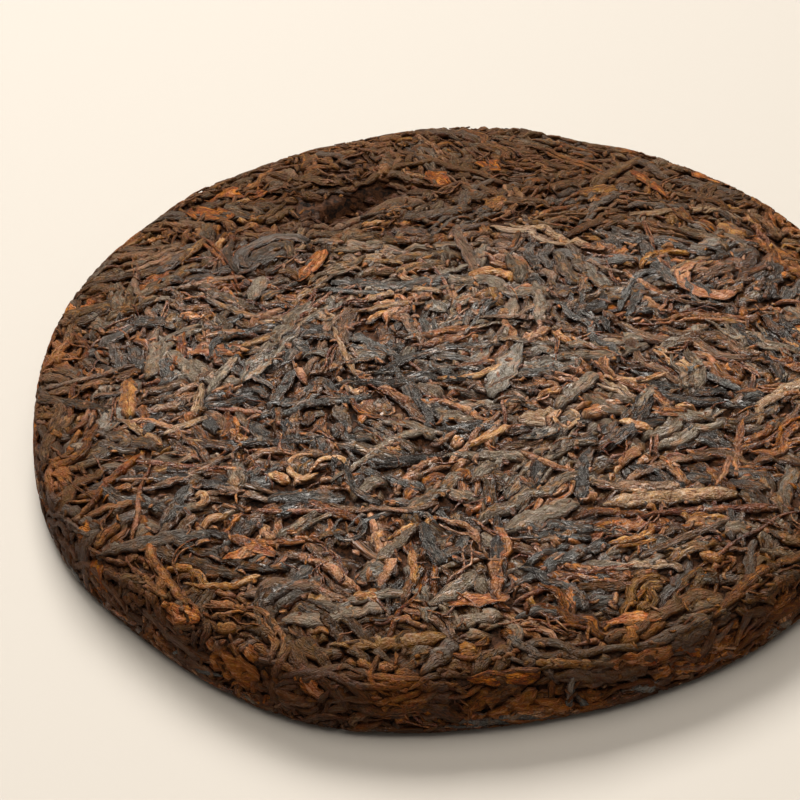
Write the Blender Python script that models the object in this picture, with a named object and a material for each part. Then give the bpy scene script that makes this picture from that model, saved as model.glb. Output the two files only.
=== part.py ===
"""A pu erh tea cake: a round, gently domed cake of pressed leaf, one solid that rests on its flat underside."""

import math

import bmesh
import bpy

MM = 0.001

# The pressed cake: flat underneath, upright at the side, domed on top.
CAKE_RADIUS = 99.0 * MM
RIM_HEIGHT = 15.5 * MM
DOME_RISE = 7.0 * MM

# The foot curls in a little where the cloth bag drew round it; the rim is a tighter corner left by the stone.
FOOT_RADIUS = 3.0 * MM
RIM_RADIUS = 3.5 * MM
SIDE_LEAN = 1.0 * MM

# Facets: steps round the cake, and rings along each stretch of its half profile.
STEPS_ROUND = 96
RINGS_UNDER = 3
STEPS_CORNER = 4
STEPS_SIDE = 3
RINGS_TOP = 20

# Where the outline swells or falls short of a true circle: (heading, half width, swell), in degrees and metres.
OUTLINE_LUMPS = (
    (-138, 8, -0.9 * MM),
    (-110, 13, 2.7 * MM),
    (-80, 12, -1.0 * MM),
    (-66, 6, -0.6 * MM),
    (-25, 10, -0.9 * MM),
    (0, 22, 0.8 * MM),
    (20, 6, -0.6 * MM),
    (69, 6, -1.6 * MM),
    (86, 13, 1.2 * MM),
    (128, 5, 1.4 * MM),
    (139, 5, -0.8 * MM),
    (180, 18, -1.2 * MM),
)

# A raised stretch of the rim, and the low step beside it: (heading, half width, rise).
RIM_LUMPS = (
    (86, 13, 0.9 * MM),
    (69, 6, -0.8 * MM),
)
RIM_LUMP_REACH = 9.0 * MM

# Hollows pressed into the top: (x, y, radius, depth).
TOP_HOLLOWS = (
    (-29 * MM, 62 * MM, 12 * MM, 2.2 * MM),
    (-17 * MM, 72 * MM, 8 * MM, 1.6 * MM),
    (-8 * MM, 17 * MM, 26 * MM, 0.7 * MM),
)

# Slow swells over the top: (metres from crest to crest, heading of travel in degrees, height).
TOP_SWELLS = (
    (52 * MM, 25, 0.30 * MM),
    (37 * MM, 100, 0.25 * MM),
    (29 * MM, 160, 0.20 * MM),
)

LEAF_BROWN = (0.045, 0.026, 0.016, 1.0)
LEAF_ROUGHNESS = 0.75


def clear_scene():
    for obj in list(bpy.data.objects):
        bpy.data.objects.remove(obj, do_unlink=True)


def leaf_material():
    """Dark brown pressed leaf, dry and nearly matt."""
    material = bpy.data.materials.new("pressed_leaf")
    material.use_nodes = True
    shader = material.node_tree.nodes["Principled BSDF"]
    shader.inputs["Base Color"].default_value = LEAF_BROWN
    shader.inputs["Roughness"].default_value = LEAF_ROUGHNESS
    return material


def lump_at(heading, lumps):
    """The sum of the lumps at a heading in degrees, each a smooth rise about its own heading."""
    total = 0.0
    for centre, half_width, swell in lumps:
        away = (heading - centre + 180) % 360 - 180
        total += swell * math.exp(-((away / half_width) ** 2))
    return total


def half_profile():
    """Points (radius, height) from the centre of the underside, round the foot, side and rim, to the top's centre."""
    foot_centre = CAKE_RADIUS - FOOT_RADIUS
    points = [(foot_centre * ring / RINGS_UNDER, 0.0) for ring in range(RINGS_UNDER + 1)]
    for step in range(1, STEPS_CORNER + 1):
        turn = math.radians(90 * step / STEPS_CORNER)
        out = foot_centre + FOOT_RADIUS * math.sin(turn)
        points.append((out, FOOT_RADIUS * (1 - math.cos(turn))))
    side_top = RIM_HEIGHT - RIM_RADIUS
    for step in range(1, STEPS_SIDE + 1):
        share = step / STEPS_SIDE
        height = FOOT_RADIUS + (side_top - FOOT_RADIUS) * share
        points.append((CAKE_RADIUS - SIDE_LEAN * share**2, height))
    rim_centre = CAKE_RADIUS - SIDE_LEAN - RIM_RADIUS
    dome_slope = math.degrees(math.atan(2 * DOME_RISE / rim_centre))
    for step in range(1, STEPS_CORNER + 1):
        turn = math.radians((90 - dome_slope) * step / STEPS_CORNER)
        out = rim_centre + RIM_RADIUS * math.cos(turn)
        points.append((out, side_top + RIM_RADIUS * math.sin(turn)))
    edge_radius, edge_height = points[-1]
    for ring in range(1, RINGS_TOP + 1):
        out = edge_radius * (1 - ring / RINGS_TOP)
        points.append((out, edge_height + DOME_RISE * (1 - (out / edge_radius) ** 2)))
    return points


def turned_body(profile):
    """The half profile spun once round Z, closed and facing outwards."""
    body = bmesh.new()
    chain = [body.verts.new((radius, 0.0, height)) for radius, height in profile]
    edges = [body.edges.new(pair) for pair in zip(chain, chain[1:])]
    bmesh.ops.spin(
        body,
        geom=chain + edges,
        cent=(0, 0, 0),
        axis=(0, 0, 1),
        angle=2 * math.pi,
        steps=STEPS_ROUND,
        use_merge=True,
    )
    bmesh.ops.remove_doubles(body, verts=body.verts, dist=0.01 * MM)
    bmesh.ops.recalc_face_normals(body, faces=body.faces)
    return body


def press_out_of_round(body):
    """Swells the outline, then raises and dents the top. The underside stays flat."""
    for vert in body.verts:
        x, y, height = vert.co
        radius = math.hypot(x, y)
        if radius < MM:
            heading, spread = 0.0, 0.0
        else:
            heading = math.degrees(math.atan2(y, x))
            spread = lump_at(heading, OUTLINE_LUMPS) * (radius / CAKE_RADIUS) ** 4
            vert.co.x = x * (radius + spread) / radius
            vert.co.y = y * (radius + spread) / radius
        if height < RIM_HEIGHT - RIM_RADIUS:
            continue
        rise = lump_at(heading, RIM_LUMPS) * math.exp(-(((CAKE_RADIUS - radius) / RIM_LUMP_REACH) ** 2))
        for hollow_x, hollow_y, hollow_radius, depth in TOP_HOLLOWS:
            away = math.hypot(x - hollow_x, y - hollow_y)
            rise -= depth * math.exp(-((away / hollow_radius) ** 2))
        for length, travel, swell in TOP_SWELLS:
            along = x * math.cos(math.radians(travel)) + y * math.sin(math.radians(travel))
            rise += swell * math.sin(2 * math.pi * along / length)
        vert.co.z = height + rise * min(1.0, (height - RIM_HEIGHT + RIM_RADIUS) / RIM_RADIUS)


def centre_on_origin(body):
    """Slides the body so that its outline is centred on the origin and it stands on z = 0."""
    xs = [vert.co.x for vert in body.verts]
    ys = [vert.co.y for vert in body.verts]
    middle = ((min(xs) + max(xs)) / 2, (min(ys) + max(ys)) / 2)
    for vert in body.verts:
        vert.co.x -= middle[0]
        vert.co.y -= middle[1]


def tea_cake():
    body = turned_body(half_profile())
    press_out_of_round(body)
    centre_on_origin(body)
    for face in body.faces:
        face.smooth = True
    mesh = bpy.data.meshes.new("tea_cake")
    body.to_mesh(mesh)
    body.free()
    mesh.materials.append(leaf_material())
    obj = bpy.data.objects.new("tea_cake", mesh)
    bpy.context.scene.collection.objects.link(obj)
    return obj


clear_scene()
tea_cake()
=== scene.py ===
import math

import bmesh
import bpy
import numpy as np
from mathutils import Matrix, Vector
from mathutils.bvhtree import BVHTree


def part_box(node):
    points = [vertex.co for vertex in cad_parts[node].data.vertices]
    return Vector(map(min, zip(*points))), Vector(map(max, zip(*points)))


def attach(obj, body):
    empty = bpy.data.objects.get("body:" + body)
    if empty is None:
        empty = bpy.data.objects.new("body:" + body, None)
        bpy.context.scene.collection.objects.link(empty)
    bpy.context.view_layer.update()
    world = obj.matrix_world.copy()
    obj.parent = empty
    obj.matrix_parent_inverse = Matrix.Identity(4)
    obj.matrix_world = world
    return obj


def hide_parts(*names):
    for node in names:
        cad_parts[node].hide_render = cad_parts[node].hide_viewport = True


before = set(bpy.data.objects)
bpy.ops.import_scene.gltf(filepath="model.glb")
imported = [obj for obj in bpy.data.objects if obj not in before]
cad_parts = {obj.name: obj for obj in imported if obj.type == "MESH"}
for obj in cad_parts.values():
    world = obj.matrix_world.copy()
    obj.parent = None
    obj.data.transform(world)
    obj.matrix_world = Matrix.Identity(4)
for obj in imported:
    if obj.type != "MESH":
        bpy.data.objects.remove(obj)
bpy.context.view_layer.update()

# ------------------------------------------------------------------------
# The skin of the cake
# A steamed bag of leaf is pressed under a stone, so the tops of all the leaves end at one smooth skin.
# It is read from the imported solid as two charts, one spread from the middle of the top over the rim
# and down the side, and one spread from the middle of the underside. Lengths here are millimetres.
# ------------------------------------------------------------------------
MM = 0.001
HEADINGS = 360
# How far each chart reaches from its middle, measured over the skin, and how finely it is kept.
TOP_REACH = 118.0
UNDER_REACH = 106.0
CHART_MARGIN = 4.0
SPREAD_STEP = 1.0
# The rim is felt from a ring this far inside it and this high, the top from above that ring.
RIM_INSET = 9.0
RIM_MIDDLE = 7.5
RAYS_FROM = 0.1
TOP_RAYS = 60
RIM_RAYS = 60
UNDER_POINTS = 30
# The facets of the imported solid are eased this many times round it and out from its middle.
EASED_ROUND = 6
EASED_OUT = 1

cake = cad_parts["tea_cake"]
cake_low, cake_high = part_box("tea_cake")
cake_radius = min(cake_high[0] - cake_low[0], cake_high[1] - cake_low[1]) / 2 / MM


def half_section(solid, heading):
    """(radius, height) in millimetres from the middle of the top, over the rim, to the underside's middle."""
    out = Vector((math.cos(heading), math.sin(heading), 0))
    inner = (cake_radius - RIM_INSET) * MM
    points = []
    for radius in np.linspace(0.0, inner, TOP_RAYS, endpoint=False):
        hit = solid.ray_cast(out * radius + Vector((0, 0, RAYS_FROM)), Vector((0, 0, -1)))[0]
        points.append((radius / MM, hit.z / MM))
    centre = out * inner + Vector((0, 0, RIM_MIDDLE * MM))
    for turn in np.radians(np.linspace(90, -90, RIM_RAYS)):
        hit = solid.ray_cast(centre, out * math.cos(turn) + Vector((0, 0, math.sin(turn))))[0]
        points.append((hit.dot(out) / MM, hit.z / MM))
    for radius in np.linspace(inner, 0.0, UNDER_POINTS)[1:]:
        points.append((radius / MM, 0.0))
    return np.array(points)


def soften(table, axis, times):
    """A table eased along one axis; round the headings it wraps."""
    for _ in range(times):
        if axis == 0:
            table = (np.roll(table, 1, 0) + 2 * table + np.roll(table, -1, 0)) / 4
        else:
            table[:, 1:-1] = (table[:, :-2] + 2 * table[:, 1:-1] + table[:, 2:]) / 4
    return table


def charts_of(node):
    """The top and underside charts: places and outward normals by heading and by distance over the skin."""
    solid = BVHTree.FromObject(node, bpy.context.evaluated_depsgraph_get())
    distances = {
        "top": np.arange(0, TOP_REACH + CHART_MARGIN, SPREAD_STEP),
        "under": np.arange(0, UNDER_REACH + CHART_MARGIN, SPREAD_STEP),
    }
    rows = {"top": [], "under": []}
    headings = np.arange(HEADINGS) * 2 * math.pi / HEADINGS
    for heading in headings:
        section = half_section(solid, heading)
        for side, path in (("top", section), ("under", section[::-1])):
            steps = np.hypot(*np.diff(path, axis=0).T)
            spread = np.concatenate([[0], np.cumsum(steps)])
            rows[side].append([np.interp(distances[side], spread, path[:, column]) for column in (0, 1)])
    charts = {}
    for side, turn in (("top", 1.0), ("under", -1.0)):
        radii, heights = np.array(rows[side]).transpose(1, 0, 2)
        radii = soften(soften(radii, 0, EASED_ROUND), 1, EASED_OUT)
        heights = soften(soften(heights, 0, EASED_ROUND), 1, EASED_OUT)
        radii[:, 0] = 0.0
        heights[:, 0] = heights[:, 0].mean()
        if side == "under":
            # Seen from below, headings run the other way round.
            radii = np.roll(radii[::-1], 1, 0)
            heights = np.roll(heights[::-1], 1, 0)
        around = headings[:, None] * turn
        places = np.stack([radii * np.cos(around), radii * np.sin(around), heights], -1)
        along = np.gradient(places, axis=1)
        across = np.roll(places, -1, 0) - np.roll(places, 1, 0)
        normals = np.cross(along, across)
        normals[:, 0] = (0, 0, turn)
        normals /= np.linalg.norm(normals, axis=-1, keepdims=True)
        charts[side] = (places, normals)
    return charts


charts = charts_of(cake)


def on_skin(side, u, v, proud):
    """Places at chart coordinates u, v on one side, standing proud of the skin and never below the floor."""
    places, normals = charts[side]
    spread = np.clip(np.hypot(u, v) / SPREAD_STEP, 0, places.shape[1] - 1.001)
    heading = (np.arctan2(v, u) / (2 * math.pi) * HEADINGS) % HEADINGS
    ring = spread.astype(int)
    turn = heading.astype(int) % HEADINGS
    onward = (turn + 1) % HEADINGS
    ring_share = (spread - ring)[..., None]
    turn_share = (heading - np.floor(heading))[..., None]

    def blend(table):
        near = table[turn, ring] * (1 - turn_share) + table[onward, ring] * turn_share
        far = table[turn, ring + 1] * (1 - turn_share) + table[onward, ring + 1] * turn_share
        return near * (1 - ring_share) + far * ring_share

    normal = blend(normals)
    normal /= np.linalg.norm(normal, axis=-1, keepdims=True)
    place = blend(places) + normal * np.asarray(proud)[..., None]
    place[..., 2] = np.maximum(place[..., 2], 0.0)
    return place


# ------------------------------------------------------------------------
# The bed of leaf
# Leaves fall one on another in a bag, bend over what they cross, nestle into the low places, and are
# then pressed. Each bed is a height map of the heap over one chart, which every leaf laid raises.
# ------------------------------------------------------------------------
CELL = 0.3
# A leaf sinks into what it crosses by this share of its depth, and bends over it within this length.
SINK_SHARE = 0.35
DRAPE = 1.1
# Its rounded back, as shares of its depth: how high its edges lie, and how much its middle rises over them.
EDGES_LIE = 0.55
BACK_RISES = 0.45
BACK_ROUND = 0.96
# A hooked leaf turns over its last third, from this share of its length past its middle.
HOOK_FROM = 0.15
HOOK_OVER = 0.35
rng = np.random.default_rng(357)


def new_bed(side, reach):
    """An empty bed: the heap's height, which leaf lies on top in each cell, and the leaves laid so far."""
    cells = int(2 * reach / CELL) + 1
    return {
        "side": side,
        "reach": reach,
        "height": np.zeros((cells, cells)),
        "owner": np.full((cells, cells), -1),
        "leaves": [],
    }


def cells_at(bed, u, v):
    """The cells of a bed at chart coordinates u, v."""
    last = bed["height"].shape[0] - 1
    column = np.clip(((u + bed["reach"]) / CELL).astype(int), 0, last)
    row = np.clip(((v + bed["reach"]) / CELL).astype(int), 0, last)
    return column, row


def route_of(place, heading, length, bend, wobble, steps, hook=0.0):
    """A leaf's middle line in chart coordinates: a bend from end to end, a slow wobble and a hooked end."""
    share = np.linspace(-0.5, 0.5, steps)
    last_third = np.clip((share - HOOK_FROM) / HOOK_OVER, 0, 1)
    turn = heading + bend * share + hook * last_third**2
    for beat, (size, phase) in enumerate(wobble, start=1):
        turn = turn + size * np.sin(2 * math.pi * beat * share + phase)
    step = length / (steps - 1)
    u = np.concatenate([[0], np.cumsum(np.cos(turn[:-1]))]) * step
    v = np.concatenate([[0], np.cumsum(np.sin(turn[:-1]))]) * step
    return np.stack([u - u.mean() + place[0], v - v.mean() + place[1]], -1)


def sideways(routes):
    """Unit vectors to the left of one route, or of many with as many steps."""
    ahead = np.gradient(routes, axis=-2)
    ahead /= np.linalg.norm(ahead, axis=-1, keepdims=True) + 1e-9
    return np.stack([-ahead[..., 1], ahead[..., 0]], -1)


def ease(values, reach):
    """A running mean over 2 * reach + 1 samples."""
    padded = np.pad(values, reach, mode="edge")
    total = np.concatenate([[0], np.cumsum(padded)])
    width = 2 * reach + 1
    return (total[width:] - total[:-width]) / width


def running_highest(values, reach):
    """The highest of 2 * reach + 1 samples round each sample."""
    padded = np.pad(values, reach, mode="edge")
    return np.max([padded[shift:shift + len(values)] for shift in range(2 * reach + 1)], axis=0)


SUPPORT_LANES = (-0.34, 0.0, 0.34)


def support_under(bed, route, left, width):
    """The heap's height under a leaf, at three places across it."""
    lanes = [route + left * (width * lane) for lane in SUPPORT_LANES]
    return np.array([bed["height"][cells_at(bed, lane[:, 0], lane[:, 1])] for lane in lanes])


def lay(bed, kind, route, width, thickness, **look):
    """Lays one leaf along a route of fine steps, raises the heap under it, and keeps it for its mesh."""
    left = sideways(route)
    support = support_under(bed, route, left, width)
    step = np.linalg.norm(route[1] - route[0])
    reach = max(1, int(round(DRAPE / step)))
    line = ease(ease(running_highest(np.sort(support, axis=0)[1], reach), reach), reach)
    line = np.maximum(line, support.max(axis=0) - SINK_SHARE * thickness)
    # The leaf's rounded back raises the heap in the cells that it covers.
    lanes = np.linspace(-1, 1, max(3, int(width / CELL)))[:, None]
    spots_u = route[:, 0] + left[:, 0] * lanes * width / 2
    spots_v = route[:, 1] + left[:, 1] * lanes * width / 2
    crown = line + thickness * (EDGES_LIE + BACK_RISES * np.sqrt(1 - BACK_ROUND * lanes**2))
    spots = cells_at(bed, spots_u, spots_v)
    higher = crown > bed["height"][spots]
    where = (spots[0][higher], spots[1][higher])
    bed["height"][where] = crown[higher]
    bed["owner"][where] = len(bed["leaves"])
    # Its mesh is kept as a few stations along it, half as many on the underside.
    span = step * (len(route) - 1)
    pitch = leaf_kinds[kind]["pitch"] * (1.0 if bed["side"] == "top" else 2.0)
    wanted = span / pitch + 1
    stations = next((count for count in STATION_COUNTS if count >= wanted), STATION_COUNTS[-1])
    picks = np.linspace(0, len(route) - 1, stations)
    index = np.arange(len(route))
    middle = np.stack([np.interp(picks, index, column) for column in (route[:, 0], route[:, 1], line)], -1)
    bed["leaves"].append(dict(kind=kind, middle=middle, width=width, thickness=thickness, span=span, **look))


# The leaves by kind: their share of the bag, lengths (shortest, usual, longest), widths, depth as a share
# of the width, waviness and bend in radians, and the mesh's pitch along and its points round. Lengths are
# millimetres. Colours run from the dark of a fold to a dry crest, and end with the worn edge. The sheaf is
# the chance that a second strip lies along a leaf, and down_side the chance that one lies down the side.
# A blade is unrolled leaf, and rim_shade_share is how much of the painted shade on the rim and side a kind
# takes.
STATION_COUNTS = (4, 6, 8, 11, 14, 18)
leaf_kinds = {
    "black_leaf": dict(
        share=0.19, lengths=(5, 15, 32), widths=(1.8, 4.2), depths=(0.34, 0.56), gnarl=0.22, bend=0.5,
        pitch=1.4, around=8, colours=("#150b06", "#2a2623", "#5f5e5a", "#76471e"), worn=0.45,
        roughness=0.38, sheaf=0.45,
    ),
    "dark_brown_leaf": dict(
        share=0.16, lengths=(5, 15, 32), widths=(1.7, 3.8), depths=(0.34, 0.58), gnarl=0.25, bend=0.6,
        pitch=1.4, around=8, colours=("#220e05", "#472a15", "#77522f", "#9c592a"), worn=0.5,
        roughness=0.45, sheaf=0.45,
    ),
    "dull_brown_leaf": dict(
        share=0.15, lengths=(5, 14, 30), widths=(1.9, 4.4), depths=(0.32, 0.54), gnarl=0.22, bend=0.5,
        pitch=1.4, around=8, colours=("#221209", "#4a3726", "#857560", "#9e642e"), worn=0.5,
        roughness=0.48, sheaf=0.45,
    ),
    "chestnut_leaf": dict(
        share=0.15, lengths=(5, 14, 30), widths=(1.4, 3.2), depths=(0.40, 0.68), gnarl=0.26, bend=0.7,
        pitch=1.4, around=7, colours=("#2e1106", "#683717", "#a26733", "#be6d2e"), worn=0.6,
        roughness=0.47, sheaf=0.45,
    ),
    "red_stem": dict(
        share=0.11, lengths=(6, 14, 34), widths=(0.9, 1.7), depths=(0.7, 0.95), gnarl=0.16, bend=0.8,
        pitch=1.8, around=6, colours=("#2e1005", "#5b2a16", "#8b5132", "#ab622d"), worn=0.5,
        roughness=0.44, sheaf=0.4,
    ),
    "broad_leaf": dict(
        share=0.11, lengths=(5, 10, 20), widths=(3.2, 6.4), depths=(0.14, 0.26), gnarl=0.16, bend=0.4,
        pitch=1.6, around=11, colours=("#201109", "#45392e", "#8d8578", "#986230"), worn=0.6,
        roughness=0.46, sheaf=0.0, blade=True,
    ),
    "crumpled_leaf": dict(
        share=0.09, lengths=(3, 6, 11), widths=(1.7, 3.6), depths=(0.45, 0.8), gnarl=0.5, bend=1.3,
        pitch=1.1, around=8, colours=("#2e1206", "#6a3a16", "#a66d38", "#c1712f"), worn=0.7,
        roughness=0.50, sheaf=0.15,
    ),
    "golden_tip": dict(
        share=0.06, lengths=(3.5, 6.5, 12), widths=(1.3, 2.6), depths=(0.5, 0.8), gnarl=0.26, bend=1.0,
        pitch=1.15, around=8, colours=("#3c1b09", "#935b32", "#ca996a", "#d29a60"), worn=0.6,
        roughness=0.48, sheaf=0.2,
    ),
    "pale_leaf": dict(
        share=0.045, lengths=(5, 10, 24), widths=(1.5, 3.8), depths=(0.3, 0.5), gnarl=0.22, bend=0.6,
        pitch=1.4, around=8, colours=("#2e190c", "#765338", "#ad8b6a", "#b57e46"), worn=0.5,
        roughness=0.45, sheaf=0.25,
    ),
    "rust_leaf": dict(
        share=0.075, lengths=(4, 8, 16), widths=(2.6, 5.8), depths=(0.14, 0.26), gnarl=0.2, bend=0.5,
        pitch=1.6, around=9, colours=("#341304", "#783810", "#ad652a", "#c4722f"), worn=0.6, roughness=0.5,
        sheaf=0.0, blade=True, down_side=0.75, rim_shade_share=0.2,
    ),
    "leaf_thread": dict(
        share=0.0, lengths=(3, 7, 16), widths=(0.45, 0.9), depths=(0.7, 1.0), gnarl=0.3, bend=0.9,
        pitch=1.6, around=5, colours=("#2a0f05", "#5c2b18", "#925934", "#b86e35"), worn=0.5,
        roughness=0.45, sheaf=0.5,
    ),
    "leaf_crumb": dict(
        share=0.0, lengths=(1.0, 2.2, 4.2), widths=(0.7, 1.7), depths=(0.3, 0.6), gnarl=0.4, bend=0.8,
        pitch=0.9, around=5, colours=("#1c0b04", "#54290e", "#8f5b31", "#c37532"), worn=0.6,
        roughness=0.55,
    ),
}


LENGTH_SPREAD = 0.38


def drawn_leaf(kind):
    """One leaf's sizes and looks, drawn at random within its kind."""
    shortest, usual, longest = kind["lengths"]
    width = rng.uniform(*kind["widths"])
    return {
        "length": float(np.clip(usual * math.exp(rng.normal(0, LENGTH_SPREAD)), shortest, longest)),
        "width": width,
        "thickness": width * rng.uniform(*kind["depths"]),
        "tone": rng.random(),
        "seed": rng.random(4),
    }


# The lie of the leaf drifts over the face in a few slow waves (length in millimetres, travel, phase), and
# turns round one swirl (x, y, reach) where the bag was gathered. Turns are in radians.
FULL_TURN = 6.3
LIE_WAVES = [
    (rng.uniform(35, 90), rng.random() * FULL_TURN, rng.random() * FULL_TURN) for _ in range(5)
]
LIE_DRIFT = 0.38
LIE_SCATTER = 0.33
SWIRL = (-8.0, 17.0, 24.0)
SWIRL_SHARE = 0.8
STRAY_SHARE = 0.16
# Some leaf lies along the rim: a share anywhere, and more over each stretch of skin (from, over, share).
RIM_SHARE = 0.15
RIM_STRETCHES = ((80, 12, 0.25), (94, 4, 0.5))
ROUND_SCATTER = 0.3


def lie_of_leaf(place, spread, around):
    """The heading a leaf takes: in drifts over the face, round its swirl, and along the rim down the side."""
    if rng.random() < STRAY_SHARE:
        return rng.random() * math.pi
    along_rim = RIM_SHARE
    for start, over, more in RIM_STRETCHES:
        along_rim += more * np.clip((spread - start) / over, 0, 1)
    if rng.random() < along_rim:
        return around + math.pi / 2 + rng.normal(0, ROUND_SCATTER)
    from_swirl = (place[0] - SWIRL[0], place[1] - SWIRL[1])
    if rng.random() < SWIRL_SHARE * math.exp(-(math.hypot(*from_swirl) / SWIRL[2]) ** 2):
        return math.atan2(from_swirl[1], from_swirl[0]) + math.pi / 2 + rng.normal(0, ROUND_SCATTER)
    drift = 0.0
    for length, travel, phase in LIE_WAVES:
        across = place[0] * math.cos(travel) + place[1] * math.sin(travel)
        drift += LIE_DRIFT * math.sin(2 * math.pi * across / length + phase)
    return drift + rng.normal(0, LIE_SCATTER)


# The side starts this far over the skin from the middle of the top.
SIDE_STARTS = 96.0
PLACES_TRIED = 4
UNEVEN_COST = 0.6
HOOKED_SHARE = 0.35
HOOK_SPREAD = 1.1
ROUTE_STEP = 0.8
# A second strip of a leaf, as shares of the first: its width, its depth, and how far it lies slid along.
STRIP_WIDTHS = (0.5, 0.9)
STRIP_DEPTHS = (0.7, 1.1)
STRIP_SLIDES = (-0.2, 0.2)
STRIP_BESIDE = 0.52


def lay_at_random(bed, name, reach, stretch=1.0):
    """Tries a few places and headings for a leaf and lays it in the lowest, as leaves nestle in a bag."""
    kind = leaf_kinds[name]
    leaf = drawn_leaf(kind)
    length = min(leaf.pop("length") * stretch, kind["lengths"][2])
    best = None
    inner = SIDE_STARTS if bed["side"] == "top" and rng.random() < kind.get("down_side", 0) else 0.0
    for _ in range(PLACES_TRIED):
        spread = math.sqrt(inner**2 + (reach**2 - inner**2) * rng.random())
        around = rng.random() * 2 * math.pi
        place = (spread * math.cos(around), spread * math.sin(around))
        heading = lie_of_leaf(place, spread, around)
        wobble = [(rng.normal(0, kind["gnarl"]), rng.random() * FULL_TURN) for _ in range(3)]
        bend = rng.normal(0, kind["bend"])
        hook = rng.normal(0, HOOK_SPREAD) if rng.random() < HOOKED_SHARE else 0.0
        route = route_of(place, heading, length, bend, wobble, max(6, int(length / ROUTE_STEP)), hook)
        support = support_under(bed, route, sideways(route), leaf["width"])
        score = support.mean() + UNEVEN_COST * support.std()
        if best is None or score < best[0]:
            best = (score, route)
    lay(bed, name, best[1], **leaf)
    if rng.random() < kind["sheaf"]:
        # A strip of the same leaf lies along it.
        width = leaf["width"] * rng.uniform(*STRIP_WIDTHS)
        apart = STRIP_BESIDE * (leaf["width"] + width)
        beside = best[1] + sideways(best[1]) * apart * rng.choice((-1, 1))
        slid = beside + (best[1][-1] - best[1][0]) * rng.uniform(*STRIP_SLIDES)
        thickness = leaf["thickness"] * rng.uniform(*STRIP_DEPTHS)
        lay(bed, name, slid, width, thickness, tone=leaf["tone"], seed=rng.random(4))


def blurred(field, reach):
    """A height map smoothed over a reach in millimetres."""
    cells = int(reach / CELL)
    for _ in range(3):
        for axis in (0, 1):
            padded = np.pad(field, [(cells + 1, cells) if a == axis else (0, 0) for a in (0, 1)], mode="edge")
            total = np.cumsum(padded, axis=axis)
            upper = np.take(total, range(2 * cells + 1, total.shape[axis]), axis=axis)
            lower = np.take(total, range(0, total.shape[axis] - 2 * cells - 1), axis=axis)
            field = (upper - lower) / (2 * cells + 1)
    return field


LEVEL_REACH = 2.4
CRUMB_ROUNDS = 4
GAP_DEPTH = 0.75


def lay_crumbs(bed, reach, amount):
    """Shakes crumbs down into the lowest gaps between the leaves, a few at a time."""
    grid = (np.arange(bed["height"].shape[0]) + 0.5) * CELL - bed["reach"]
    inside = np.hypot(grid[:, None], grid[None, :]) < reach
    for _ in range(CRUMB_ROUNDS):
        gaps = np.argwhere(inside & (bed["height"] - blurred(bed["height"], LEVEL_REACH) < -GAP_DEPTH))
        for column, row in gaps[rng.choice(len(gaps), amount // CRUMB_ROUNDS)]:
            leaf = drawn_leaf(leaf_kinds["leaf_crumb"])
            heading = rng.random() * math.pi
            length = leaf.pop("length")
            bend = rng.normal(0, leaf_kinds["leaf_crumb"]["bend"])
            lay(bed, "leaf_crumb", route_of((grid[column], grid[row]), heading, length, bend, [], 6), **leaf)


# Short leaf works down to the bottom of the bag and long leaf stays on top, so lengths stretch as it fills.
LEAVES_LAID = {"top": 2500, "under": 1150}
CRUMBS_LAID = {"top": 1300, "under": 350}
THREADS_LAID = {"top": 650, "under": 150}
FIRST_STRETCH = 0.75
LAST_STRETCH = 1.5
beds = {"top": new_bed("top", TOP_REACH), "under": new_bed("under", UNDER_REACH)}
reaches = {"top": TOP_REACH - 2, "under": UNDER_REACH - 4}
kind_names = [name for name in leaf_kinds if leaf_kinds[name]["share"]]
kind_shares = np.array([leaf_kinds[name]["share"] for name in kind_names])
kind_shares /= kind_shares.sum()
for side, bed in beds.items():
    stretches = np.linspace(FIRST_STRETCH, LAST_STRETCH, LEAVES_LAID[side])
    for choice, stretch in zip(rng.choice(len(kind_names), LEAVES_LAID[side], p=kind_shares), stretches):
        lay_at_random(bed, kind_names[choice], reaches[side], stretch)
    for _ in range(THREADS_LAID[side]):
        lay_at_random(bed, "leaf_thread", reaches[side])

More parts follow.
